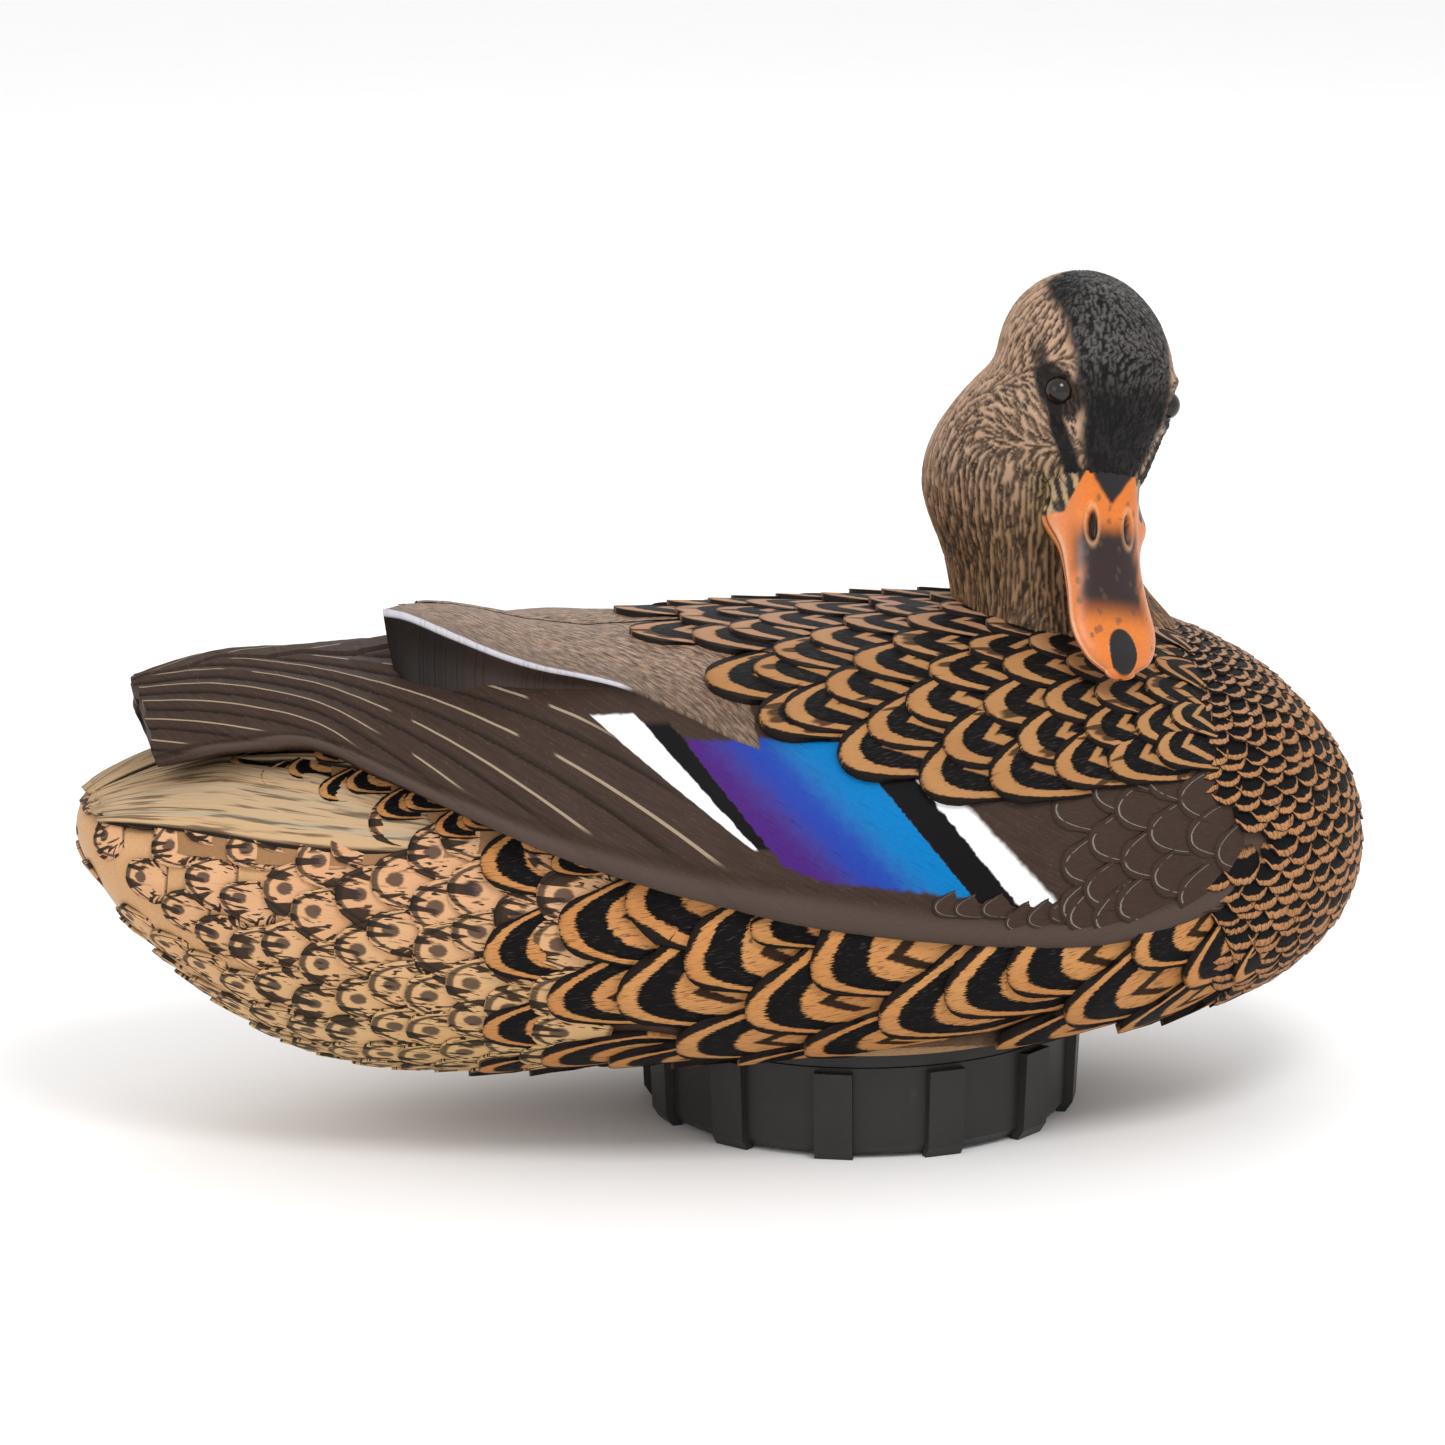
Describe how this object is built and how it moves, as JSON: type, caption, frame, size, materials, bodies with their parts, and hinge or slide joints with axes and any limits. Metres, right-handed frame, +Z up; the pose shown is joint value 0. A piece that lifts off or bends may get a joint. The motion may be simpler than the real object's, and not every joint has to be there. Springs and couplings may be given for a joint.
{
  "type": "floating duck decoy",
  "caption": "Hollow duck decoy in a preening pose that floats on water, with a pod under it for batteries and a ripple motor behind a ribbed screw-on lock ring.",
  "frame": {"origin": "centre of the flat face the decoy stands on, on the axis of the lock ring", "axes": "+X towards the breast, +Z up, the duck's right side is -Y"},
  "size_m": [0.391, 0.176, 0.2556],
  "materials": {
    "shell": "painted, satin",
    "eye": "polished",
    "black_plastic": "satin moulded",
    "dark_plastic": "moulded",
    "steel": "satin",
    "brass": "turned",
    "seal": "soft",
    "rubber": "soft",
    "cell": "printed sleeve",
    "board": "solder mask"
  },
  "bodies": {
    "decoy": {"shell_right": "shell", "shell_left": "shell", "head": "shell", "eyes": "eye", "neck_insert": "brass", "head_bolt": "steel", "head_washer": "steel", "pod_housing": "black_plastic", "pod_gasket": "rubber", "backing_ring": "steel", "pod_screws": "steel", "battery_tray": "dark_plastic", "battery_1": "cell", "battery_2": "cell", "battery_3": "cell", "battery_4": "cell", "contact_springs": "steel", "contact_plates": "steel", "power_switch": "dark_plastic", "control_board": "board", "motor_bracket": "dark_plastic", "motor": "steel", "motor_screws": "steel"},
    "weight": {"motor_shaft": "steel", "eccentric_weight": "brass"},
    "lid": {"lid": "black_plastic", "lid_seal": "seal"},
    "lock_ring": {"lock_ring": "black_plastic"},
    "button": {"button": "rubber"}
  },
  "joints": [
    {"name": "weight_spin", "type": "hinge", "parent": "decoy", "child": "weight", "pos_m": [0, 0, 0.1], "axis": [0, 0, 1], "continuous": true},
    {"name": "lid_drop", "type": "slide", "parent": "decoy", "child": "lid", "axis": [0, 0, -1], "range_m": [0, 0.02201]},
    {"name": "ring_turn", "type": "hinge", "parent": "lid", "child": "lock_ring", "pos_m": [0, 0, 0.015], "axis": [0, 0, -1], "range_deg": [0, 990]},
    {"name": "button_press", "type": "slide", "parent": "lid", "child": "button", "axis": [0, 0, 1], "range_m": [0, 0.0015], "stiffness_N_per_m": 1500, "springref_m": -0.0008}
  ],
  "couplings": [
    {"joint": "lid_drop", "follows": "ring_turn", "m_per_rad": 0.0012732}
  ]
}
